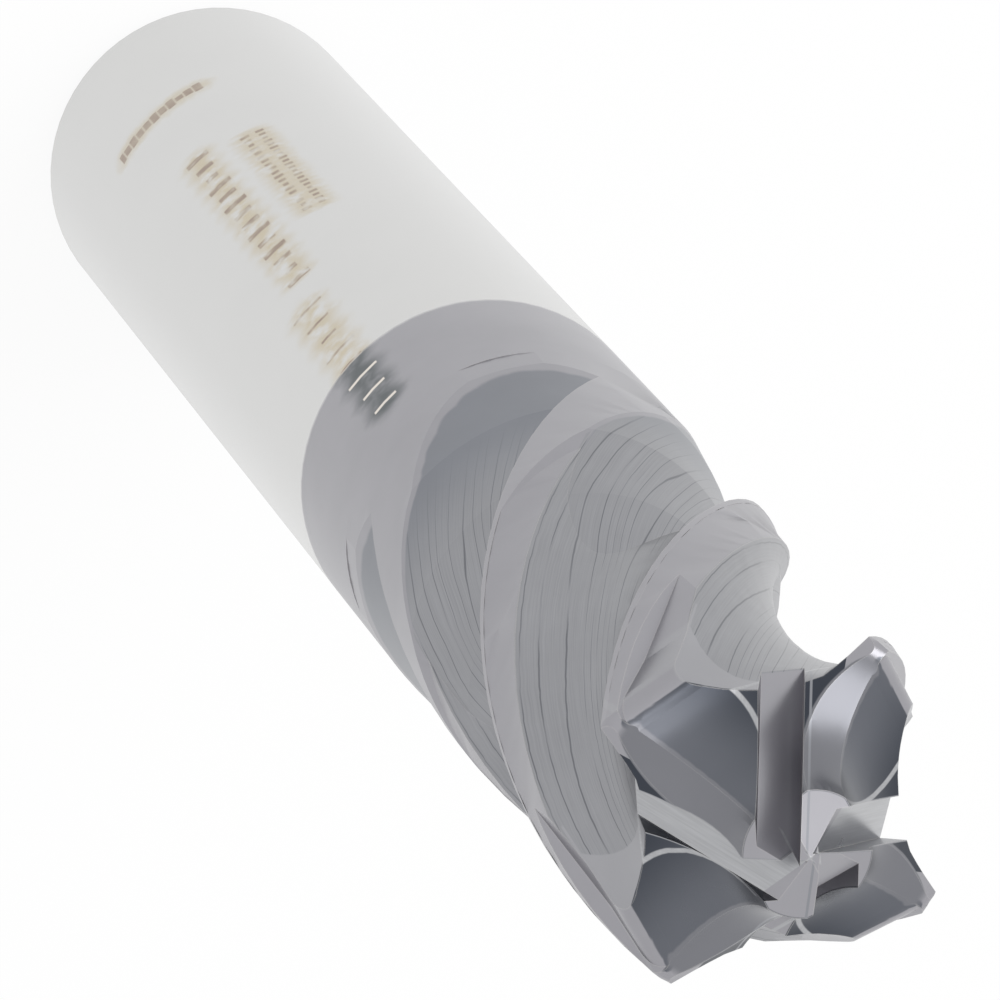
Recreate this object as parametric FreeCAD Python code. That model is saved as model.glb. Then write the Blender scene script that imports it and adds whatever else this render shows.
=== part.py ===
import FreeCAD, Part
import math
import os

os.makedirs("parts", exist_ok=True)

V = FreeCAD.Vector

# Corner rounding end mill ground from one carbide rod, standing on its shank end.
# The origin is the centre of the shank end and +Z points to the cutting end. Sizes in mm.

# Blank
shank_d = 9.525
shank_l = 37.3
shank_chamfer = 0.45
cut_d = 9.48
overall_l = 63.5
form_r = 3.175
corner_round = 0.4

# Flutes
tooth_count = 4
helix_deg = 33.5
core_d = 6.2
land_deg = 22.0
margin_deg = 2.6
land_relief = 0.16
rake_deg = 8.0
rake_depth = 1.2
rake_hook = 0.05
floor_lead_deg = 27.0
flute_start_z = 38.3
runout_entry_deg = 3.0
runout_r = 30.0
runout_offset = 1.2
runout_steps = 6

# First tooth, at the station where the form radius starts
tooth_angle = 23.5

# Form relief behind each cutting edge
edge_land_deg = 8.0
relief_drop = 0.2
relief_inward = 0.5
relief_round = 0.7
relief_straight = 1.0
relief_runout = 3.0
relief_runout_rise = 0.35

# End gash in front of each tooth
gash_w = 1.15
gash_ahead = 0.1
gash_slope_deg = 54.0
gash_turn_deg = 3.0
gash_rake_deg = 28.0
gash_open_deg = 34.0
gash_past_long = 0.0
gash_past_short = 0.4
gash_depth = 16.0

clear = 1.0

shank_r = shank_d / 2
cut_r = cut_d / 2
core_r = core_d / 2
form_start_z = overall_l - form_r
pitch = math.pi * cut_d / math.tan(math.radians(helix_deg))
tooth_step = 360.0 / tooth_count
section_z = flute_start_z - clear


def polar(radius, degrees, z=0.0):
    angle = math.radians(degrees)
    return V(radius * math.cos(angle), radius * math.sin(angle), z)


def line(start, end):
    return Part.LineSegment(start, end).toShape()


def arc(start, middle, end):
    return Part.Arc(start, middle, end).toShape()


def face(edges):
    return Part.Face(Part.Wire(edges))


def turned(edges):
    return face(edges).revolve(V(0, 0, 0), V(0, 0, 1), 360)


def form_point(inset):
    """Point of the concave quarter round, in the XZ plane, that far inside the cutting diameter."""
    return V(cut_r - inset, 0, overall_l - math.sqrt(form_r ** 2 - inset ** 2))


def form_arc(inset):
    """The quarter round from that inset up to the end face."""
    swing = (math.asin(inset / form_r) + math.pi / 2) / 2
    return arc(form_point(inset), form_point(form_r * math.sin(swing)), form_point(form_r))


def blank():
    """Ground rod with a chamfered shank end, a slightly tapered cutting end and the quarter round."""
    foot = V(0, 0, 0)
    chamfer_in = V(shank_r - shank_chamfer, 0, 0)
    chamfer_out = V(shank_r, 0, shank_chamfer)
    shank_end = V(shank_r, 0, shank_l)
    tip = V(0, 0, overall_l)
    rod = turned([
        line(foot, chamfer_in),
        line(chamfer_in, chamfer_out),
        line(chamfer_out, shank_end),
        line(shank_end, form_point(0)),
        form_arc(0),
        line(form_point(form_r), tip),
        line(tip, foot),
    ])
    return rounded_corner(rod)


def rounded_corner(rod):
    """Small rounding where the quarter round meets the outside diameter."""
    rims = [edge for edge in rod.Edges
            if abs(edge.BoundBox.ZMin - form_start_z) < corner_round / 2
            and edge.BoundBox.ZLength < corner_round / 2]
    return rod.makeFillet(corner_round, rims)


def edge_angle(z):
    """Angle of the first tooth's edge on the outside diameter at station z."""
    return tooth_angle + 360.0 * (z - form_start_z) / pitch


def flute_section(edge_deg, z):
    """Flute between a tooth's edge and the heel and relieved land of the next tooth."""
    heel_deg = edge_deg + tooth_step - land_deg
    margin_end_deg = edge_deg + tooth_step - margin_deg
    edge = polar(cut_r, edge_deg, z)
    rake_end = polar(cut_r - rake_depth, edge_deg + rake_deg, z)
    hook = polar(rake_hook, edge_deg - tooth_step)
    rake_middle = (edge + rake_end) / 2 + hook
    floor_middle = polar(core_r, edge_deg + floor_lead_deg, z)
    heel = polar(cut_r - land_relief, heel_deg, z)
    land_middle = polar(cut_r - land_relief / 2, (heel_deg + margin_end_deg) / 2, z)
    margin_end = polar(cut_r, margin_end_deg, z)
    out_r = cut_r + clear
    return Part.Wire([
        arc(edge, rake_middle, rake_end),
        arc(rake_end, floor_middle, heel),
        arc(heel, land_middle, margin_end),
        line(margin_end, polar(out_r, margin_end_deg, z)),
        arc(polar(out_r, margin_end_deg, z),
            polar(out_r, edge_deg + tooth_step / 2, z),
            polar(out_r, edge_deg, z)),
        line(polar(out_r, edge_deg, z), edge),
    ])


def runout_plug():
    """Metal left where the grinding wheel lifts out of the flute towards the shank."""
    middle_deg = edge_angle(flute_start_z) + (tooth_step - land_deg) / 2
    reach = cut_r + runout_offset
    entry = math.radians(runout_entry_deg)
    turn = math.acos(math.cos(entry) - reach / runout_r) - entry

    def on_slope(share):
        angle = entry + share * turn
        drop = runout_r * (math.cos(entry) - math.cos(angle))
        along = runout_r * (math.sin(angle) - math.sin(entry))
        return V(reach - drop, 0, flute_start_z + along)

    foot = V(0, 0, section_z - clear)
    corners = [foot, V(reach, 0, foot.z)]
    corners += [on_slope(step / runout_steps) for step in range(runout_steps + 1)]
    plug = turned([line(start, end) for start, end in zip(corners, corners[1:] + corners[:1])])
    plug.translate(polar(-runout_offset, middle_deg))
    return plug


def flute_cutter():
    height = overall_l + clear - section_z
    helix = Part.makeHelix(pitch, height, cut_r)
    helix.translate(V(0, 0, section_z))
    spine = Part.Wire(helix.Edges)
    sweep = spine.makePipeShell([flute_section(edge_angle(section_z), section_z)], True, True)
    return sweep.cut(runout_plug())


def relief_cutter():
    """Air behind a tooth's edge: the form profile carried back, down and inwards."""
    corner = form_point(relief_round)
    straight_top = V(cut_r, 0, corner.z - relief_round)
    straight_end = straight_top - V(0, 0, relief_straight)
    runout_end = straight_end + V(relief_runout_rise, 0, -relief_runout)
    bend = relief_round * (1 - math.sqrt(0.5))
    far_r = cut_r + clear
    top_z = overall_l + clear
    profile = face([
        line(runout_end, straight_end),
        line(straight_end, straight_top),
        arc(straight_top, V(cut_r - bend, 0, corner.z - bend), corner),
        form_arc(relief_round),
        line(form_point(form_r), V(0, 0, overall_l)),
        line(V(0, 0, overall_l), V(0, 0, top_z)),
        line(V(0, 0, top_z), V(far_r, 0, top_z)),
        line(V(far_r, 0, top_z), V(far_r, 0, runout_end.z)),
        line(V(far_r, 0, runout_end.z), runout_end),
    ])
    travel = V(-relief_inward, -1, -relief_drop)
    profile.translate(travel * -cut_r)
    cutter = profile.extrude(travel * (2 * cut_r)).cut(edge_land())
    cutter.rotate(V(0, 0, 0), V(0, 0, 1), -edge_land_deg)
    return cutter


def edge_land():
    """Space in front of the form relief, which keeps a land of even width along the helical edge."""
    low_z = form_start_z - shank_d
    low_y = -shank_d * math.tan(math.radians(helix_deg))
    top_z = overall_l + 2 * clear
    across = V(4 * shank_d, 0, 0)
    corners = [
        V(-2 * shank_d, low_y, low_z),
        V(-2 * shank_d, 0, form_start_z),
        V(-2 * shank_d, 0, top_z),
        V(-2 * shank_d, 2 * shank_d, top_z),
        V(-2 * shank_d, 2 * shank_d, low_z),
    ]
    sides = [line(start, end) for start, end in zip(corners, corners[1:] + corners[:1])]
    return face(sides).extrude(across)


def gash_cutter(past_centre):
    """Tapered slot that frees one tooth's end edge, cut down and outwards from the centre."""
    slope = math.radians(gash_slope_deg)
    along = V(math.cos(slope), 0, -math.sin(slope))
    normal = V(math.sin(slope), 0, math.cos(slope))
    rake_lean = V(0, gash_depth * math.tan(math.radians(gash_rake_deg)), 0)
    wall_lean = V(0, gash_depth * math.tan(math.radians(gash_open_deg)), 0)
    floor_in = V(-past_centre, gash_ahead, overall_l)
    floor_out = floor_in + V(0, gash_w, 0)
    mouth_in = floor_in + normal * gash_depth + rake_lean
    mouth_out = floor_out + normal * gash_depth + wall_lean
    slot = face([
        line(floor_in, floor_out),
        line(floor_out, mouth_out),
        line(mouth_out, mouth_in),
        line(mouth_in, floor_in),
    ])
    slot.translate(along * -clear)
    cutter = slot.extrude(along * gash_depth)
    cutter.rotate(V(0, 0, 0), V(0, 0, 1), gash_turn_deg)
    return cutter


def around(make, index):
    cutter = make()
    cutter.rotate(V(0, 0, 0), V(0, 0, 1), tooth_angle + index * tooth_step)
    return cutter


def end_mill():
    tool = blank()
    flute = flute_cutter()
    for index in range(tooth_count):
        cutter = flute.copy()
        cutter.rotate(V(0, 0, 0), V(0, 0, 1), index * tooth_step)
        tool = tool.cut(cutter)
    for index in range(tooth_count):
        tool = tool.cut(around(relief_cutter, index))
    for index in range(tooth_count):
        past = gash_past_short if index % 2 == 0 else gash_past_long
        tool = tool.cut(around(lambda: gash_cutter(past), index))
    solids = tool.Solids
    return max(solids, key=lambda solid: solid.Volume)


mill = end_mill()
print("solids", len(mill.Solids), "valid", mill.isValid(), "volume", round(mill.Volume, 1))
print("box", mill.BoundBox)
mill.exportStep("parts/corner_rounding_end_mill.step")
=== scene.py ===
import math

import bpy
from bpy.props import FloatProperty, FloatVectorProperty, PointerProperty
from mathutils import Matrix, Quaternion, Vector


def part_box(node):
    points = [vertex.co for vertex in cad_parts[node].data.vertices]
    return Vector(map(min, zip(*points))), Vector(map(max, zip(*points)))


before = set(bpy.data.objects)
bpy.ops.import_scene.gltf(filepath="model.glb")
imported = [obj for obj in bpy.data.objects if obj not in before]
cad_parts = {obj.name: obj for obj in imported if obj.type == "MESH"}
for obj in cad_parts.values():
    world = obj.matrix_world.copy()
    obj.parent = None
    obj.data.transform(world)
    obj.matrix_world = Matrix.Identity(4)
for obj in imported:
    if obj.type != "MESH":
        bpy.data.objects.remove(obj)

bl_info = {
    "name": "Corner Rounding End Mill",
    "version": (1, 0, 0),
    "blender": (4, 5, 0),
    "location": "View3D > Sidebar > End Mill",
    "description": "Ground carbide finish, coating and studio for a corner rounding end mill",
    "category": "Object",
}

MILL = "corner_rounding_end_mill"
MM = 0.001

mill_low, mill_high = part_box(MILL)
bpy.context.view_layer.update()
shank_radius = mill_high.x
overall_length = mill_high.z

# How far a point may lie from a ground face and still take its finish
FACE_FIT = 0.045 * MM
OUTSIDE_DEPTH = 0.035 * MM

# Limits of the finishes along the tool
FORM_ZONE_BELOW_START = 3.2 * MM
RUNOUT_TOP = 50.0 * MM
RUNOUT_SMOOTH_END = 41.0 * MM
RUNOUT_LINED_START = 44.5 * MM
HEEL_FACE_START = 57.3 * MM
HEEL_FACE_SLANT = 1.46
HEEL_FACE_LEAD = math.radians(33.0)
GASH_LENGTH = 9.0 * MM

# How far round the tool the form relief and the gash are followed behind their tooth
RELIEF_SWEEP = math.radians(80.0)
GASH_SWEEP = math.radians(20.0)
# Distances behind the edge over which the painted shade on the form relief deepens
RELIEF_SHADE_START = 0.2 * MM
RELIEF_SHADE_END = 2.6 * MM

# Grinding lines, edges with wear and a painted highlight, and the coating's uneven start
COATING_SWAY = 0.12 * MM
LINES_PER_RADIAN = 13.0
LINE_DRIFT = 3.0
LINE_SHARE = 0.8
EDGE_WIDTH = 0.04 * MM
EDGE_WEAR_AND_HIGHLIGHT = 0.5
PATCH_CHANGE = 0.16
GRAIN_DEPTH = 0.003 * MM
GRAIN_STRENGTH = 0.5

# Etched bars
MARKS_END = 37.2 * MM
BAND_PLACE = 7.6 * MM
BAND_TURN = math.radians(-4.0)

# Studio
FLOOR_GLOW_SHARE = 0.9
KEY_LAMP_PLACE = Vector((-0.42, 0.02, 0.40))


class TeethSettings(bpy.types.PropertyGroup):
    """Places of the ground faces on the solid, so that each finish finds its own face."""

    cutting_radius: FloatProperty(
        name="Cutting radius", description="Outside radius of the teeth",
        default=4.74 * MM, unit="LENGTH")
    form_radius: FloatProperty(
        name="Form radius", description="Radius of the concave quarter round",
        default=3.175 * MM, unit="LENGTH")
    first_tooth: FloatProperty(
        name="First tooth", description="Direction of the first tooth where the quarter round starts",
        default=math.radians(23.5), subtype="ANGLE")
    helix: FloatProperty(
        name="Helix angle", description="Angle between the flutes and the tool's axis at the outside",
        default=math.radians(33.5), subtype="ANGLE")
    core_radius: FloatProperty(
        name="Core radius", description="Radius of the metal between the flutes",
        default=3.1 * MM, unit="LENGTH")
    floor_lead: FloatProperty(
        name="Floor lead", description="Angle from an edge to the deepest line of its flute",
        default=math.radians(27.0), subtype="ANGLE")
    land: FloatProperty(
        name="Land", description="Angle that a tooth's land takes of the round",
        default=math.radians(22.0), subtype="ANGLE")
    land_relief: FloatProperty(
        name="Land relief", description="Depth by which the land falls away behind its margin",
        default=0.16 * MM, unit="LENGTH")
    rake: FloatProperty(
        name="Rake", description="Angle by which the rake face leads at its inner end",
        default=math.radians(8.0), subtype="ANGLE")
    rake_depth: FloatProperty(
        name="Rake depth", description="Depth of the rake face below the outside",
        default=1.2 * MM, unit="LENGTH")
    edge_land: FloatProperty(
        name="Edge land", description="Angle of the land between the edge and the form relief",
        default=math.radians(8.0), subtype="ANGLE")
    relief_inward: FloatProperty(
        name="Relief inward", description="Inward fall of the form relief for each length behind the edge",
        default=0.5, min=0.0)
    relief_drop: FloatProperty(
        name="Relief drop", description="Downward fall of the form relief for each length behind the edge",
        default=0.2, min=0.0)
    gash_ahead: FloatProperty(
        name="Gash ahead", description="Distance of the gash floor ahead of the tooth's middle line",
        default=0.1 * MM, unit="LENGTH")
    gash_width: FloatProperty(
        name="Gash width", description="Width of the gash floor",
        default=1.15 * MM, unit="LENGTH")
    gash_slope: FloatProperty(
        name="Gash slope", description="Slope of the gash floor",
        default=math.radians(54.0), subtype="ANGLE")
    gash_turn: FloatProperty(
        name="Gash turn", description="Turn of the gash from its tooth",
        default=math.radians(3.0), subtype="ANGLE")
    gash_rake: FloatProperty(
        name="Gash rake", description="Lean of the gash wall that carries the edge",
        default=math.radians(28.0), subtype="ANGLE")
    gash_opening: FloatProperty(
        name="Gash opening", description="Lean of the gash wall across from the edge",
        default=math.radians(34.0), subtype="ANGLE")


class BareCarbideSettings(bpy.types.PropertyGroup):
    """Finish of the uncoated shank."""

    colour: FloatVectorProperty(
        name="Shank colour", description="Reflected colour of the bare ground carbide",
        default=(0.64, 0.64, 0.632), subtype="COLOR", min=0.0, max=1.0)
    roughness: FloatProperty(
        name="Shank roughness", description="Roughness of the ground shank",
        default=0.22, min=0.0, max=1.0)
    mottle: FloatProperty(
        name="Shank mottle", description="Share by which the shank's tone wanders",
        default=0.04, min=0.0, max=1.0)


class CoatingSettings(bpy.types.PropertyGroup):
    """Finish of the coated cutting end, with painted shade and painted light in the tones of several ground
    faces.
    """

    start: FloatProperty(
        name="Coating start", description="Height above the shank end where the coating begins",
        default=32.3 * MM, unit="LENGTH")
    fade: FloatProperty(
        name="Coating fade", description="Length over which the coating thins out",
        default=0.22 * MM, unit="LENGTH")
    roughness: FloatProperty(
        name="Coating roughness", description="Roughness of the coated lands",
        default=0.3, min=0.0, max=1.0)
    fine_roughness: FloatProperty(
        name="Fine ground roughness", description="Roughness of the finely ground form and gash faces",
        default=0.28, min=0.0, max=1.0)
    land_colour: FloatVectorProperty(
        name="Land colour", description="Reflected colour of the coating on the outside",
        default=(0.342, 0.338, 0.362), subtype="COLOR", min=0.0, max=1.0)
    flute_colour: FloatVectorProperty(
        name="Flute colour", description="Reflected colour of the coating in the flutes",
        default=(0.310, 0.313, 0.330), subtype="COLOR", min=0.0, max=1.0)
    # Darker than the flutes: painted shade on the sloping run-outs
    runout_painted_shade: FloatVectorProperty(
        name="Run-out colour", description="Reflected colour of the smooth flute run-outs",
        default=(0.225, 0.235, 0.26), subtype="COLOR", min=0.0, max=1.0)
    line_colour: FloatVectorProperty(
        name="Grinding line colour", description="Reflected colour of the dark grinding lines",
        default=(0.13, 0.135, 0.15), subtype="COLOR", min=0.0, max=1.0)
    heel_colour: FloatVectorProperty(
        name="Heel colour", description="Reflected colour of the smooth relief behind the corners",
        default=(0.36, 0.36, 0.38), subtype="COLOR", min=0.0, max=1.0)
    # Darker than the lands: painted shade in place of the form land's darker reflection
    form_land_painted_shade: FloatVectorProperty(
        name="Form land colour", description="Reflected colour of the narrow land along the form edge",
        default=(0.20, 0.203, 0.222), subtype="COLOR", min=0.0, max=1.0)
    # Darker than the lands: painted dark reflection on the concave form relief
    form_relief_painted_shade: FloatVectorProperty(
        name="Form relief colour",
        description="Reflected colour of the concave relief behind the form edge",
        default=(0.135, 0.142, 0.162), subtype="COLOR", min=0.0, max=1.0)
    # Painted shade that deepens far behind the edge
    relief_end_painted_shade: FloatVectorProperty(
        name="Form relief end colour",
        description="Reflected colour of the form relief far behind the edge",
        default=(0.05, 0.056, 0.07), subtype="COLOR", min=0.0, max=1.0)
    # Lighter than the lands: painted light that offsets the shade in the gashes
    gash_floor_painted_light: FloatVectorProperty(
        name="Gash floor colour", description="Reflected colour of the gash floors",
        default=(0.41, 0.415, 0.43), subtype="COLOR", min=0.0, max=1.0)
    # Darker than the lands: painted shade, a painted dark reflection on the gash walls
    gash_wall_painted_shade: FloatVectorProperty(
        name="Gash wall colour", description="Reflected colour of the dark gash walls",
        default=(0.27, 0.277, 0.30), subtype="COLOR", min=0.0, max=1.0)
    # Light edge lines: partly coating wear, partly a painted highlight along the edges
    edge_wear_and_highlight_colour: FloatVectorProperty(
        name="Edge colour", description="Reflected colour where edges shine through the coating",
        default=(0.50, 0.49, 0.48), subtype="COLOR", min=0.0, max=1.0)


class MarkSettings(bpy.types.PropertyGroup):
    """Plain etched bars with the heat tint that etching leaves."""

    middle: FloatProperty(
        name="Mark direction", description="Direction of the long row of bars round the shank",
        default=math.radians(-83.0), subtype="ANGLE")
    start: FloatProperty(
        name="Row start", description="Height where the long row of bars begins",
        default=26.6 * MM, unit="LENGTH")
    end: FloatProperty(
        name="Row end", description="Height where the long row of bars ends",
        default=36.6 * MM, unit="LENGTH")
    tint: FloatVectorProperty(
        name="Heat tint", description="Reflected colour of the straw tint on bare carbide",
        default=(0.55, 0.485, 0.36), subtype="COLOR", min=0.0, max=1.0)
    dark_tint: FloatVectorProperty(
        name="Dark heat tint", description="Reflected colour of the strong brown tint on bare carbide",
        default=(0.30, 0.225, 0.17), subtype="COLOR", min=0.0, max=1.0)
    halo: FloatVectorProperty(
        name="Halo", description="Reflected colour of the burnt coating round an etched bar",
        default=(0.055, 0.07, 0.075), subtype="COLOR", min=0.0, max=1.0)
    stroke: FloatVectorProperty(
        name="Stroke", description="Reflected colour of an etched bar",
        default=(0.80, 0.74, 0.67), subtype="COLOR", min=0.0, max=1.0)


class StudioSettings(bpy.types.PropertyGroup):
    """Floor, lamp and surroundings."""

    floor_size: FloatProperty(
        name="Floor size", description="Side of the square floor",
        default=3.0, unit="LENGTH")
    floor_colour: FloatVectorProperty(
        name="Floor colour", description="Colour of the plain floor",
        default=(0.93, 0.93, 0.93), subtype="COLOR", min=0.0, max=1.0)
    ambient: FloatProperty(
        name="Ambient level", description="Strength of the soft light from all round",
        default=0.8, min=0.0)
    key_power: FloatProperty(
        name="Key lamp power", description="Power of the large soft lamp",
        default=1.6, min=0.0)
    key_size: FloatProperty(
        name="Key lamp size", description="Side of the large soft lamp",
        default=0.5, unit="LENGTH")


class ViewSettings(bpy.types.PropertyGroup):
    """Camera that looks down on the cutting end."""

    elevation: FloatProperty(
        name="Elevation", description="Angle of the view above the horizon",
        default=math.radians(67.823), subtype="ANGLE")
    roll: FloatProperty(
        name="Roll", description="Turn of the camera about its line of sight",
        default=math.radians(139.06), subtype="ANGLE")
    aim_height: FloatProperty(
        name="Aim height", description="Height on the tool's axis at the middle of the picture",
        default=0.0345, unit="LENGTH")
    distance: FloatProperty(
        name="Distance", description="Distance from the camera to the aimed point",
        default=0.2509, unit="LENGTH")
    focal_length: FloatProperty(
        name="Focal length", description="Focal length in millimetres on a 36 mm sensor",
        default=349.2, min=1.0)


def feed(tree, target, value):
    """Links a socket to a node's input, or sets the input to a plain value."""
    if isinstance(value, bpy.types.NodeSocket):
        tree.links.new(value, target)
    elif isinstance(value, tuple) and target.type == "RGBA":
        target.default_value = (*value, 1.0)
    else:
        target.default_value = value


def calc(tree, operation, *values, clamp=False):
    node = tree.nodes.new("ShaderNodeMath")
    node.operation = operation
    node.use_clamp = clamp
    for target, value in zip(node.inputs, values):
        feed(tree, target, value)
    return node.outputs["Value"]


def smooth_step(tree, value, low, high):
    """0 below low, 1 above high, with a smooth change between them."""
    node = tree.nodes.new("ShaderNodeMapRange")
    node.interpolation_type = "SMOOTHSTEP"
    feed(tree, node.inputs["Value"], value)
    feed(tree, node.inputs["From Min"], low)
    feed(tree, node.inputs["From Max"], high)
    return node.outputs["Result"]


def blend_colours(tree, factor, first, second):
    """First colour at 0, second colour at 1."""
    node = tree.nodes.new("ShaderNodeMix")
    node.data_type = "RGBA"
    feed(tree, node.inputs[0], factor)
    feed(tree, node.inputs[6], first)
    feed(tree, node.inputs[7], second)
    return node.outputs[2]


def noise(tree, vector, scale, detail=2.0, roughness=0.5):
    """Soft uneven value from 0 to 1."""
    node = tree.nodes.new("ShaderNodeTexNoise")
    feed(tree, node.inputs["Vector"], vector)
    node.inputs["Scale"].default_value = scale
    node.inputs["Detail"].default_value = detail
    node.inputs["Roughness"].default_value = roughness
    return node.outputs["Fac"]


def near(tree, distance, width):
    """1 where a distance is close to zero, fading out over a width to either side."""
    return calc(tree, "SUBTRACT", 1.0, smooth_step(
        tree, calc(tree, "ABSOLUTE", distance), width / 2, width))


def above(tree, value, level, soft):
    """1 where a value is over a level, with a soft change around it."""
    return smooth_step(tree, value, level - soft, level + soft)


def both(tree, first, second):
    """Share that holds where two shares hold together."""
    return calc(tree, "MULTIPLY", first, second)


def combined(tree, x, y, z):
    node = tree.nodes.new("ShaderNodeCombineXYZ")
    for target, value in zip(node.inputs, (x, y, z)):
        feed(tree, target, value)
    return node.outputs["Vector"]


def scaled(tree, vector, factor):
    node = tree.nodes.new("ShaderNodeVectorMath")
    node.operation = "SCALE"
    feed(tree, node.inputs[0], vector)
    feed(tree, node.inputs["Scale"], factor)
    return node.outputs["Vector"]


def reach(tree, across, up):
    """Length of the hypotenuse over two sides."""
    return calc(tree, "SQRT", calc(tree, "ADD", both(tree, across, across), both(tree, up, up)))


def flat_polar(radius, angle):
    """Flat point at a radius and an angle."""
    return Vector((radius * math.cos(angle), radius * math.sin(angle)))


def circle_through(first, second, third):
    """Centre and radius of the circle through three flat points."""
    to_second = second - first
    to_third = third - first
    span = 2 * (to_second.x * to_third.y - to_second.y * to_third.x)
    centre = Vector((
        (to_third.y * to_second.length_squared - to_second.y * to_third.length_squared) / span,
        (to_second.x * to_third.length_squared - to_third.x * to_second.length_squared) / span))
    return first + centre, centre.length


class MillPlaces:
    """Places on the tool that its finishes depend on, as node sockets. Lengths are in metres."""

    def __init__(self, tree, teeth):
        self.tree = tree
        self.teeth = teeth
        coordinates = tree.nodes.new("ShaderNodeTexCoord")
        self.point = coordinates.outputs["Object"]
        parts = tree.nodes.new("ShaderNodeSeparateXYZ")
        tree.links.new(self.point, parts.inputs[0])
        self.z = parts.outputs["Z"]
        self.below_tip = calc(tree, "SUBTRACT", self.z, overall_length)
        self.radius = reach(tree, parts.outputs["X"], parts.outputs["Y"])
        self.azimuth = calc(tree, "ARCTAN2", parts.outputs["Y"], parts.outputs["X"])
        rate = math.tan(teeth.helix) / teeth.cutting_radius
        form_start = overall_length - teeth.form_radius
        twist = calc(tree, "MULTIPLY", calc(tree, "SUBTRACT", self.z, form_start), rate)
        lead = calc(tree, "SUBTRACT", calc(tree, "SUBTRACT", self.azimuth, teeth.first_tooth), twist)
        self.ahead_of_edge = calc(tree, "WRAP", lead, math.pi / 2, 0.0)

    def tooth_frame(self, turn, behind):
        """Flat coordinates in the frame of the nearest tooth, turned ahead of it by an angle."""
        tree = self.tree
        angle = calc(tree, "WRAP", calc(tree, "SUBTRACT", self.azimuth, self.teeth.first_tooth + turn),
                     math.pi / 2 - behind, -behind)
        return (calc(tree, "MULTIPLY", self.radius, calc(tree, "COSINE", angle)),
                calc(tree, "MULTIPLY", self.radius, calc(tree, "SINE", angle)))

    def on_flute(self):
        """Distance from the hollow face of the flute."""
        tree, teeth = self.tree, self.teeth
        centre, radius = circle_through(
            flat_polar(teeth.cutting_radius - teeth.rake_depth, teeth.rake),
            flat_polar(teeth.core_radius, teeth.floor_lead),
            flat_polar(teeth.cutting_radius - teeth.land_relief, math.pi / 2 - teeth.land))
        across = calc(tree, "MULTIPLY", self.radius, calc(tree, "COSINE", self.ahead_of_edge))
        up = calc(tree, "MULTIPLY", self.radius, calc(tree, "SINE", self.ahead_of_edge))
        away = reach(tree, calc(tree, "SUBTRACT", across, centre.x), calc(tree, "SUBTRACT", up, centre.y))
        return calc(tree, "SUBTRACT", away, radius)

    def on_form_land(self):
        """Distance from the concave quarter round along the edge."""
        tree, teeth = self.tree, self.teeth
        away = reach(tree, calc(tree, "SUBTRACT", self.radius, teeth.cutting_radius), self.below_tip)
        return calc(tree, "SUBTRACT", away, teeth.form_radius)

    def relief_start(self):
        """Where the relief line through this point starts, as (outward, below the tip), and its length."""
        tree, teeth = self.tree, self.teeth
        outward, ahead = self.tooth_frame(-teeth.edge_land, RELIEF_SWEEP)
        return (calc(tree, "SUBTRACT", outward, calc(tree, "MULTIPLY", ahead, teeth.relief_inward)),
                calc(tree, "SUBTRACT", self.below_tip, calc(tree, "MULTIPLY", ahead, teeth.relief_drop)),
                calc(tree, "MULTIPLY", ahead, -1.0))

    def gash_frame(self):
        """Place in the gash, as (height over its floor, distance ahead of its inner side, way along)."""
        tree, teeth = self.tree, self.teeth
        outward, ahead = self.tooth_frame(teeth.gash_turn, GASH_SWEEP)
        height = calc(tree, "ADD", calc(tree, "MULTIPLY", outward, math.sin(teeth.gash_slope)),
                      calc(tree, "MULTIPLY", self.below_tip, math.cos(teeth.gash_slope)))
        along = calc(tree, "SUBTRACT", calc(tree, "MULTIPLY", outward, math.cos(teeth.gash_slope)),
                     calc(tree, "MULTIPLY", self.below_tip, math.sin(teeth.gash_slope)))
        return height, calc(tree, "SUBTRACT", ahead, teeth.gash_ahead), along


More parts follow.
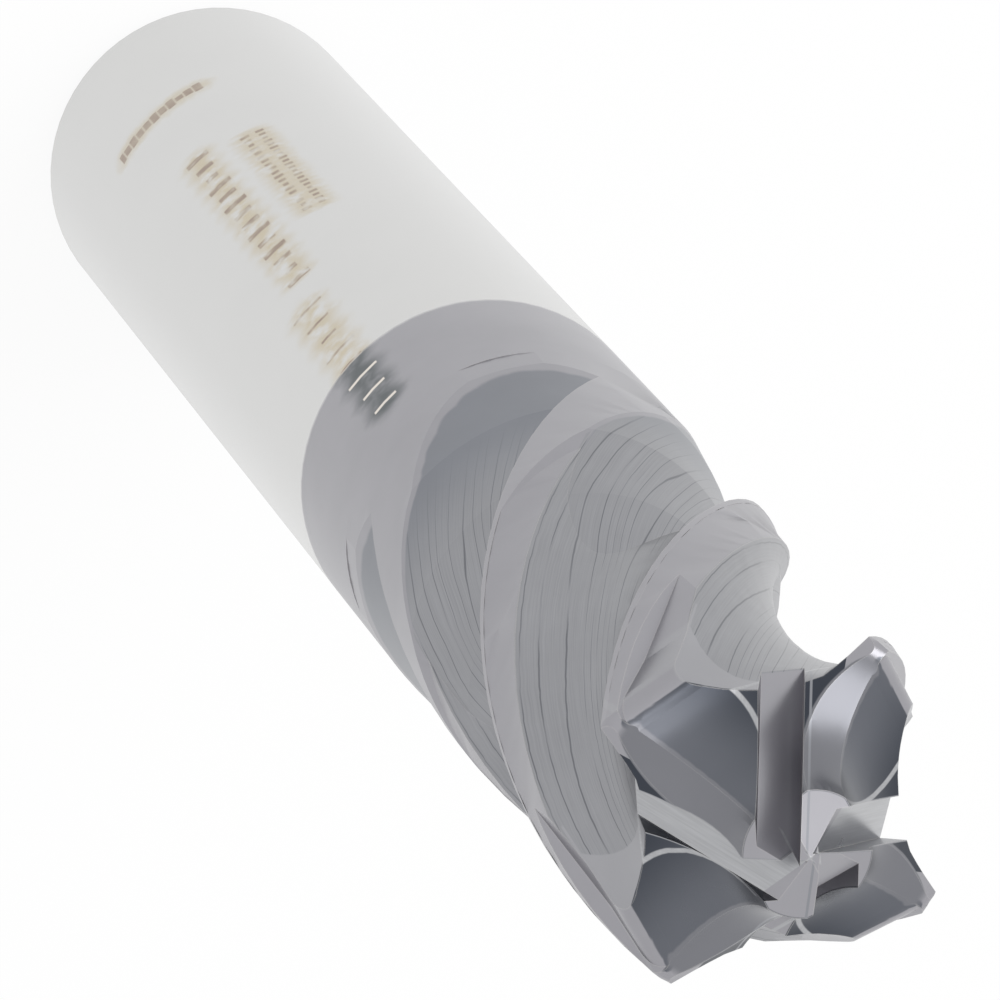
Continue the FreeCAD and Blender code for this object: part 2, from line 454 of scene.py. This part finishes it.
class GroundFaces:
    """Shares from 0 to 1 that tell the ground faces of the cutting end apart."""

    def __init__(self, tree, places, teeth):
        form_start = overall_length - teeth.form_radius
        in_end = above(tree, places.z, form_start - FORM_ZONE_BELOW_START, 0.05 * MM)
        self.outside = above(tree, places.radius, teeth.cutting_radius - OUTSIDE_DEPTH, 0.012 * MM)
        in_gap = calc(tree, "SUBTRACT", 1.0, above(
            tree, places.ahead_of_edge, math.pi / 2 - teeth.land - 0.01, 0.01))
        inside = calc(tree, "SUBTRACT", 1.0, self.outside)
        on_runout = both(tree, both(tree, inside, in_gap), calc(
            tree, "SUBTRACT", 1.0, above(tree, places.z, RUNOUT_TOP, 0.2 * MM)))
        lined = smooth_step(tree, places.z, RUNOUT_SMOOTH_END, RUNOUT_LINED_START)
        self.runout = on_runout
        self.flute = calc(tree, "MAXIMUM", both(tree, near(tree, places.on_flute(), FACE_FIT), inside),
                          both(tree, on_runout, lined))
        slant = calc(tree, "MULTIPLY", calc(
            tree, "SUBTRACT", places.radius, teeth.cutting_radius), HEEL_FACE_SLANT)
        self.polished_heel = both(
            tree, both(tree, self.flute, above(tree, places.ahead_of_edge, HEEL_FACE_LEAD, 0.01)),
            above(tree, calc(tree, "ADD", places.z, slant), HEEL_FACE_START, 0.03 * MM))
        self.form_land = both(tree, near(tree, places.on_form_land(), FACE_FIT),
                              above(tree, places.z, form_start + 0.02 * MM, 0.02 * MM))
        outward, below, self.behind = places.relief_start()
        away = calc(tree, "SUBTRACT", reach(
            tree, calc(tree, "SUBTRACT", outward, teeth.cutting_radius), below), teeth.form_radius)
        self.form_relief = both(tree, near(tree, away, FACE_FIT), in_end)
        self.heel = both(tree, near(
            tree, calc(tree, "SUBTRACT", outward, teeth.cutting_radius), FACE_FIT), in_end)
        height, ahead, along = places.gash_frame()
        self.gash_along = along
        self.gash_height = height
        self.gash_ahead = ahead
        in_gash = above(tree, places.z, overall_length - GASH_LENGTH, 0.05 * MM)
        over_floor = above(tree, height, -0.02 * MM, 0.01 * MM)
        self.gash_floor = both(tree, near(tree, height, FACE_FIT), in_gash)
        rake_side = calc(tree, "SUBTRACT", ahead, calc(tree, "MULTIPLY", height, math.tan(teeth.gash_rake)))
        open_side = calc(tree, "SUBTRACT", calc(tree, "SUBTRACT", ahead, teeth.gash_width),
                         calc(tree, "MULTIPLY", height, math.tan(teeth.gash_opening)))
        self.gash_rake = both(tree, both(tree, near(tree, rake_side, FACE_FIT), over_floor), in_gash)
        self.gash_opening = both(tree, both(tree, near(tree, open_side, FACE_FIT), over_floor), in_gash)


def coating_mask(tree, places, coating):
    """0 on the bare shank and 1 on the coated end, with a slightly uneven boundary."""
    wave = noise(tree, places.point, 900.0)
    sway = calc(tree, "MULTIPLY", calc(tree, "SUBTRACT", wave, 0.5), COATING_SWAY)
    shifted = calc(tree, "ADD", places.z, sway)
    return smooth_step(tree, shifted, coating.start - coating.fade / 2, coating.start + coating.fade / 2)


def flute_lines(tree, places):
    """Marks that run along the flutes with the helix, as (soft streaks, thin dark lines)."""
    across = places.ahead_of_edge
    fine = noise(tree, combined(tree, across, calc(tree, "MULTIPLY", places.z, 2.0), 0.0), 160.0, 2.0, 0.6)
    drift = noise(tree, combined(tree, across, calc(tree, "MULTIPLY", places.z, 25.0), 0.7), 4.0, 0.0, 0.4)
    count = calc(tree, "ADD", calc(tree, "MULTIPLY", across, LINES_PER_RADIAN),
                 calc(tree, "MULTIPLY", drift, LINE_DRIFT))
    from_line = calc(tree, "ABSOLUTE", calc(tree, "SUBTRACT", calc(tree, "FRACT", count), 0.5))
    strength = noise(tree, combined(
        tree, across, calc(tree, "MULTIPLY", places.z, 30.0), 0.2), 11.0, 1.0, 0.5)
    lines = calc(tree, "SUBTRACT", 1.0, smooth_step(tree, from_line, 0.015, 0.055))
    return fine, both(tree, lines, smooth_step(tree, strength, 0.28, 0.55))


def bar_row(tree, along, across, start, end, half_height, pitch, stroke, uneven):
    """A row of plain upright bars, as (strokes, soft halo round the row)."""
    inside = both(tree, above(tree, along, start, 0.02 * MM), calc(
        tree, "SUBTRACT", 1.0, above(tree, along, end, 0.02 * MM)))
    off_line = calc(tree, "ABSOLUTE", across)
    step = calc(tree, "DIVIDE", calc(tree, "SUBTRACT", along, start), pitch)
    from_bar = calc(tree, "MULTIPLY", calc(tree, "SUBTRACT", calc(tree, "FRACT", step), 0.5), pitch)
    bars = near(tree, from_bar, stroke)
    short = calc(tree, "MULTIPLY", calc(tree, "FLOOR", calc(tree, "MULTIPLY", calc(
        tree, "FRACT", calc(tree, "MULTIPLY", calc(tree, "FLOOR", step), 0.4)), 2.5)), 0.25 * half_height)
    height = calc(tree, "SUBTRACT", half_height, short)
    over_bar = calc(tree, "SUBTRACT", off_line, height)
    tall = calc(tree, "SUBTRACT", 1.0, smooth_step(tree, over_bar, 0.0, 0.04 * MM))
    outside_row = calc(tree, "MAXIMUM", calc(tree, "SUBTRACT", start, along),
                       calc(tree, "SUBTRACT", along, end))
    beyond = calc(tree, "MAXIMUM", calc(tree, "ADD", outside_row, half_height), 0.0)
    away = calc(tree, "ADD", reach(tree, off_line, beyond), calc(
        tree, "ADD", calc(tree, "MULTIPLY", calc(tree, "ABSOLUTE", from_bar), 0.35),
        calc(tree, "MULTIPLY", calc(tree, "SUBTRACT", uneven, 0.5), 0.6 * MM)))
    halo = calc(tree, "SUBTRACT", 1.0, smooth_step(tree, away, 0.6 * half_height, half_height + 0.55 * MM))
    return both(tree, both(tree, bars, tall), inside), halo


def etched_marks(tree, places, marks, coated, tone):
    """Plain bars etched along and round the shank, over the tone of the bare and coated metal."""
    bare = calc(tree, "SUBTRACT", 1.0, coated)
    on_shank = calc(tree, "SUBTRACT", 1.0, above(tree, places.z, MARKS_END, 0.02 * MM))
    uneven = noise(tree, places.point, 1500.0, 2.0, 0.6)
    # Each row: turn from the marks' direction in degrees, half height, start, end, pitch,
    # stroke and share of tint. Lengths without a unit are in mm.
    rows = (
        (0.0, 0.50, marks.start, marks.end, 1.25, 0.10, 0.95),
        (-5.0, 0.36, 12.2 * MM, 25.2 * MM, 0.95, 0.22, 1.0),
        (-22.0, 0.12, 13.2 * MM, 21.2 * MM, 0.42, 0.14, 1.0),
        (-27.5, 0.10, 13.2 * MM, 21.2 * MM, 0.36, 0.12, 1.0),
    )
    for turn, half_height, start, end, pitch, stroke, share in rows:
        across = calc(tree, "MULTIPLY", calc(
            tree, "SUBTRACT", places.azimuth, marks.middle + math.radians(turn)), shank_radius)
        strokes, halo = bar_row(tree, places.z, across, start, end,
                                half_height * MM, pitch * MM, stroke * MM, uneven)
        straw = both(tree, both(tree, halo, bare), calc(
            tree, "MULTIPLY", smooth_step(tree, uneven, 0.25, 0.6), share))
        burnt = both(tree, both(tree, halo, coated), calc(
            tree, "MULTIPLY", smooth_step(tree, uneven, 0.1, 0.6), 0.9))
        tone = blend_colours(tree, straw, tone, tuple(marks.tint))
        tone = blend_colours(tree, both(tree, burnt, on_shank), tone, tuple(marks.halo))
        browned = both(tree, both(tree, strokes, bare), smooth_step(tree, uneven, 0.3, 0.65))
        tone = blend_colours(tree, browned, tone, tuple(marks.dark_tint))
        bright = both(tree, both(tree, strokes, coated), on_shank)
        tone = blend_colours(tree, bright, tone, tuple(marks.stroke))
    around = calc(tree, "MULTIPLY", calc(
        tree, "SUBTRACT", places.azimuth, marks.middle + BAND_TURN), shank_radius)
    band, band_halo = bar_row(tree, around, calc(tree, "SUBTRACT", places.z, BAND_PLACE),
                              -1.6 * MM, 1.6 * MM, 0.3 * MM, 0.3 * MM, 0.17 * MM, uneven)
    tone = blend_colours(tree, calc(tree, "MULTIPLY", band_halo, 0.8), tone, tuple(marks.tint))
    browned = both(tree, band, calc(tree, "ADD", 0.3, uneven))
    return blend_colours(tree, browned, tone, tuple(marks.dark_tint))


def gash_streaks(tree, faces):
    """Fine marks along the gashes."""
    along = calc(tree, "MULTIPLY", faces.gash_along, 0.03)
    place = combined(tree, along, faces.gash_ahead, faces.gash_height)
    return noise(tree, place, 14000.0, 2.0, 0.7)


def edge_mask(tree, width):
    """1 close to sharp outer edges, from the angle between the rounded and the true normal."""
    rounded = tree.nodes.new("ShaderNodeBevel")
    rounded.samples = 6
    rounded.inputs["Radius"].default_value = width
    geometry = tree.nodes.new("ShaderNodeNewGeometry")
    dot = tree.nodes.new("ShaderNodeVectorMath")
    dot.operation = "DOT_PRODUCT"
    tree.links.new(rounded.outputs["Normal"], dot.inputs[0])
    tree.links.new(geometry.outputs["Normal"], dot.inputs[1])
    return calc(tree, "SUBTRACT", 1.0, smooth_step(tree, dot.outputs["Value"], 0.93, 0.995))


def centred(tree, value, reach_of_change):
    """Factor that wanders about 1 with a noise value."""
    return calc(tree, "ADD", 1.0 - reach_of_change / 2, calc(tree, "MULTIPLY", value, reach_of_change))


def coated_colour(tree, places, faces, coating):
    """Colour of the coated end, face by face, with painted shade and painted light in several face tones.
    """
    streaks, lines = flute_lines(tree, places)
    lined = blend_colours(tree, calc(tree, "MULTIPLY", lines, LINE_SHARE),
                          tuple(coating.flute_colour), tuple(coating.line_colour))
    flute_tone = scaled(tree, lined, centred(tree, streaks, 0.35))
    marks = centred(tree, gash_streaks(tree, faces), 0.5)
    # Painted shade on the form relief, darker further behind the edge
    relief_shade_tone = blend_colours(tree, smooth_step(
        tree, faces.behind, RELIEF_SHADE_START, RELIEF_SHADE_END),
                                tuple(coating.form_relief_painted_shade), tuple(coating.relief_end_painted_shade))
    tone = tuple(coating.land_colour)
    # Run-out, form land, form relief and gash tones are painted shade and painted light; grinding lines and
    # gash streaks are real marks
    steps = (
        (faces.runout, tuple(coating.runout_painted_shade)),
        (faces.flute, flute_tone),
        (faces.polished_heel, tuple(coating.heel_colour)),
        (faces.heel, tuple(coating.heel_colour)),
        (faces.form_relief, relief_shade_tone),
        (faces.form_land, tuple(coating.form_land_painted_shade)),
        (faces.gash_opening, scaled(tree, tuple(coating.gash_wall_painted_shade), marks)),
        (faces.gash_rake, tuple(coating.gash_wall_painted_shade)),
        (faces.gash_floor, scaled(tree, tuple(coating.gash_floor_painted_light), marks)),
    )
    for share, colour in steps:
        tone = blend_colours(tree, share, tone, colour)
    # Lighter tone along sharp edges: partly wear, partly a painted highlight
    edge_wear_and_highlight_share = calc(tree, "MULTIPLY", edge_mask(tree, EDGE_WIDTH), EDGE_WEAR_AND_HIGHLIGHT)
    return blend_colours(tree, edge_wear_and_highlight_share, tone, tuple(coating.edge_wear_and_highlight_colour)), streaks


def carbide_material(bare, coating, teeth, marks):
    """Bare ground shank and coated cutting end in one material, since the tool is one piece."""
    material = bpy.data.materials.new("ground_carbide_with_coating")
    material.use_nodes = True
    tree = material.node_tree
    shader = tree.nodes["Principled BSDF"]
    shader.inputs["Metallic"].default_value = 1.0
    places = MillPlaces(tree, teeth)
    faces = GroundFaces(tree, places, teeth)
    coated = coating_mask(tree, places, coating)
    mottle = noise(tree, places.point, 260.0, 4.0, 0.6)
    shank_tone = scaled(tree, tuple(bare.colour), centred(tree, mottle, 2 * bare.mottle))
    coat_tone, streaks = coated_colour(tree, places, faces, coating)
    patchy = scaled(tree, coat_tone, centred(
        tree, noise(tree, places.point, 420.0, 3.0, 0.6), PATCH_CHANGE))
    plain = blend_colours(tree, coated, shank_tone, patchy)
    feed(tree, shader.inputs["Base Color"], etched_marks(tree, places, marks, coated, plain))
    gash = calc(tree, "MAXIMUM", faces.gash_floor, faces.gash_opening)
    fine = calc(tree, "MAXIMUM", faces.form_relief, gash)
    coat_rough = calc(tree, "ADD", coating.roughness, calc(
        tree, "MULTIPLY", fine, coating.fine_roughness - coating.roughness))
    rough = calc(tree, "ADD", calc(tree, "MULTIPLY", calc(tree, "SUBTRACT", mottle, 0.5), 0.06),
                 calc(tree, "ADD", bare.roughness,
                      calc(tree, "MULTIPLY", coated, calc(tree, "SUBTRACT", coat_rough, bare.roughness))))
    feed(tree, shader.inputs["Roughness"], rough)
    bump = tree.nodes.new("ShaderNodeBump")
    bump.inputs["Distance"].default_value = GRAIN_DEPTH
    feed(tree, bump.inputs["Strength"], calc(tree, "MULTIPLY", faces.flute, GRAIN_STRENGTH))
    feed(tree, bump.inputs["Height"], streaks)
    tree.links.new(bump.outputs["Normal"], shader.inputs["Normal"])
    return material


def floor_material(colour):
    """Plain white floor that keeps the shadow and shows as white to the camera."""
    material = bpy.data.materials.new("plain_floor")
    material.use_nodes = True
    tree = material.node_tree
    shader = tree.nodes["Principled BSDF"]
    shader.inputs["Base Color"].default_value = (*colour, 1.0)
    shader.inputs["Roughness"].default_value = 1.0
    shader.inputs["Specular IOR Level"].default_value = 0.0
    glow = tree.nodes.new("ShaderNodeEmission")
    glow.inputs["Color"].default_value = (1.0, 1.0, 1.0, 1.0)
    mix = tree.nodes.new("ShaderNodeMixShader")
    feed(tree, mix.inputs[0], calc(tree, "MULTIPLY", seen_directly(tree), FLOOR_GLOW_SHARE))
    tree.links.new(shader.outputs[0], mix.inputs[1])
    tree.links.new(glow.outputs[0], mix.inputs[2])
    tree.links.new(mix.outputs[0], tree.nodes["Material Output"].inputs["Surface"])
    return material


def seen_directly(tree):
    """1 for rays that the camera, a gloss or glass sends, 0 for those that light the object."""
    path = tree.nodes.new("ShaderNodeLightPath")
    camera_or_gloss = calc(tree, "MAXIMUM", path.outputs["Is Camera Ray"], path.outputs["Is Glossy Ray"])
    return calc(tree, "MAXIMUM", camera_or_gloss, path.outputs["Is Transmission Ray"])


def white_surroundings(scene, ambient):
    """White background to look at, with a weaker soft light from all round."""
    world = bpy.data.worlds.new("white_surroundings")
    scene.world = world
    world.use_nodes = True
    tree = world.node_tree
    background = tree.nodes["Background"]
    background.inputs["Color"].default_value = (1.0, 1.0, 1.0, 1.0)
    level = calc(tree, "ADD", ambient, calc(tree, "MULTIPLY", seen_directly(tree), 1.0 - ambient))
    feed(tree, background.inputs["Strength"], level)


def soft_lamp(scene, name, place, target, size, power):
    """Square lamp that faces a target."""
    lamp = bpy.data.lights.new(name, "AREA")
    lamp.shape = "SQUARE"
    lamp.size = size
    lamp.energy = power
    holder = bpy.data.objects.new(name, lamp)
    holder.location = place
    holder.rotation_mode = "QUATERNION"
    holder.rotation_quaternion = (target - place).to_track_quat("-Z", "Y")
    scene.collection.objects.link(holder)


class MILL_OT_finish_carbide(bpy.types.Operator):
    """Give the end mill its ground shank and coated cutting end"""

    bl_idname = "mill.finish_carbide"
    bl_label = "Finish Carbide"

    def execute(self, context):
        settings = context.scene
        material = carbide_material(settings.mill_bare_carbide, settings.mill_coating,
                                    settings.mill_teeth, settings.mill_marks)
        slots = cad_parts[MILL].material_slots
        if not slots:
            raise RuntimeError("the end mill has no material slot")
        for slot in slots:
            slot.material = material
        return {"FINISHED"}


class MILL_OT_stage(bpy.types.Operator):
    """Set the floor, the soft lamp and the white surroundings"""

    bl_idname = "mill.stage"
    bl_label = "Set Stage"

    def execute(self, context):
        scene = context.scene
        studio = scene.mill_studio
        scene.view_settings.view_transform = "Standard"
        bpy.ops.mesh.primitive_plane_add(size=studio.floor_size)
        floor = context.object
        floor.name = "floor"
        floor.data.materials.append(floor_material(studio.floor_colour))
        white_surroundings(scene, studio.ambient)
        middle = Vector((0.0, 0.0, overall_length / 2))
        soft_lamp(scene, "key_lamp", KEY_LAMP_PLACE, middle, studio.key_size, studio.key_power)
        return {"FINISHED"}


class MILL_OT_camera(bpy.types.Operator):
    """Aim the camera down at the cutting end"""

    bl_idname = "mill.camera"
    bl_label = "Aim Camera"

    def execute(self, context):
        scene = context.scene
        view = scene.mill_view
        camera = bpy.data.cameras.new("camera")
        camera.sensor_width = 36.0
        camera.lens = view.focal_length
        camera.clip_start = 0.01
        holder = bpy.data.objects.new("camera", camera)
        sight = Vector((0.0, math.cos(view.elevation), -math.sin(view.elevation)))
        aim = Vector((0.0, 0.0, view.aim_height))
        holder.location = aim - sight * view.distance
        holder.rotation_mode = "QUATERNION"
        level = sight.to_track_quat("-Z", "Y")
        holder.rotation_quaternion = level @ Quaternion((0.0, 0.0, 1.0), view.roll)
        scene.collection.objects.link(holder)
        scene.camera = holder
        return {"FINISHED"}


class MILL_PT_panel(bpy.types.Panel):
    """Steps that dress the end mill and set its scene"""

    bl_label = "End Mill"
    bl_idname = "MILL_PT_panel"
    bl_space_type = "VIEW_3D"
    bl_region_type = "UI"
    bl_category = "End Mill"

    def draw(self, context):
        column = self.layout.column()
        for operator in (MILL_OT_finish_carbide, MILL_OT_stage, MILL_OT_camera):
            column.operator(operator.bl_idname)


SETTINGS = {
    "mill_teeth": TeethSettings,
    "mill_bare_carbide": BareCarbideSettings,
    "mill_coating": CoatingSettings,
    "mill_marks": MarkSettings,
    "mill_studio": StudioSettings,
    "mill_view": ViewSettings,
}
CLASSES = (
    *SETTINGS.values(),
    MILL_OT_finish_carbide,
    MILL_OT_stage,
    MILL_OT_camera,
    MILL_PT_panel,
)


def register():
    for item in CLASSES:
        bpy.utils.register_class(item)
    for name, group in SETTINGS.items():
        setattr(bpy.types.Scene, name, PointerProperty(type=group))


def unregister():
    for name in SETTINGS:
        delattr(bpy.types.Scene, name)
    for item in reversed(CLASSES):
        bpy.utils.unregister_class(item)


def main():
    register()
    bpy.ops.mill.finish_carbide()
    bpy.ops.mill.stage()
    bpy.ops.mill.camera()


if __name__ == "__main__":
    main()
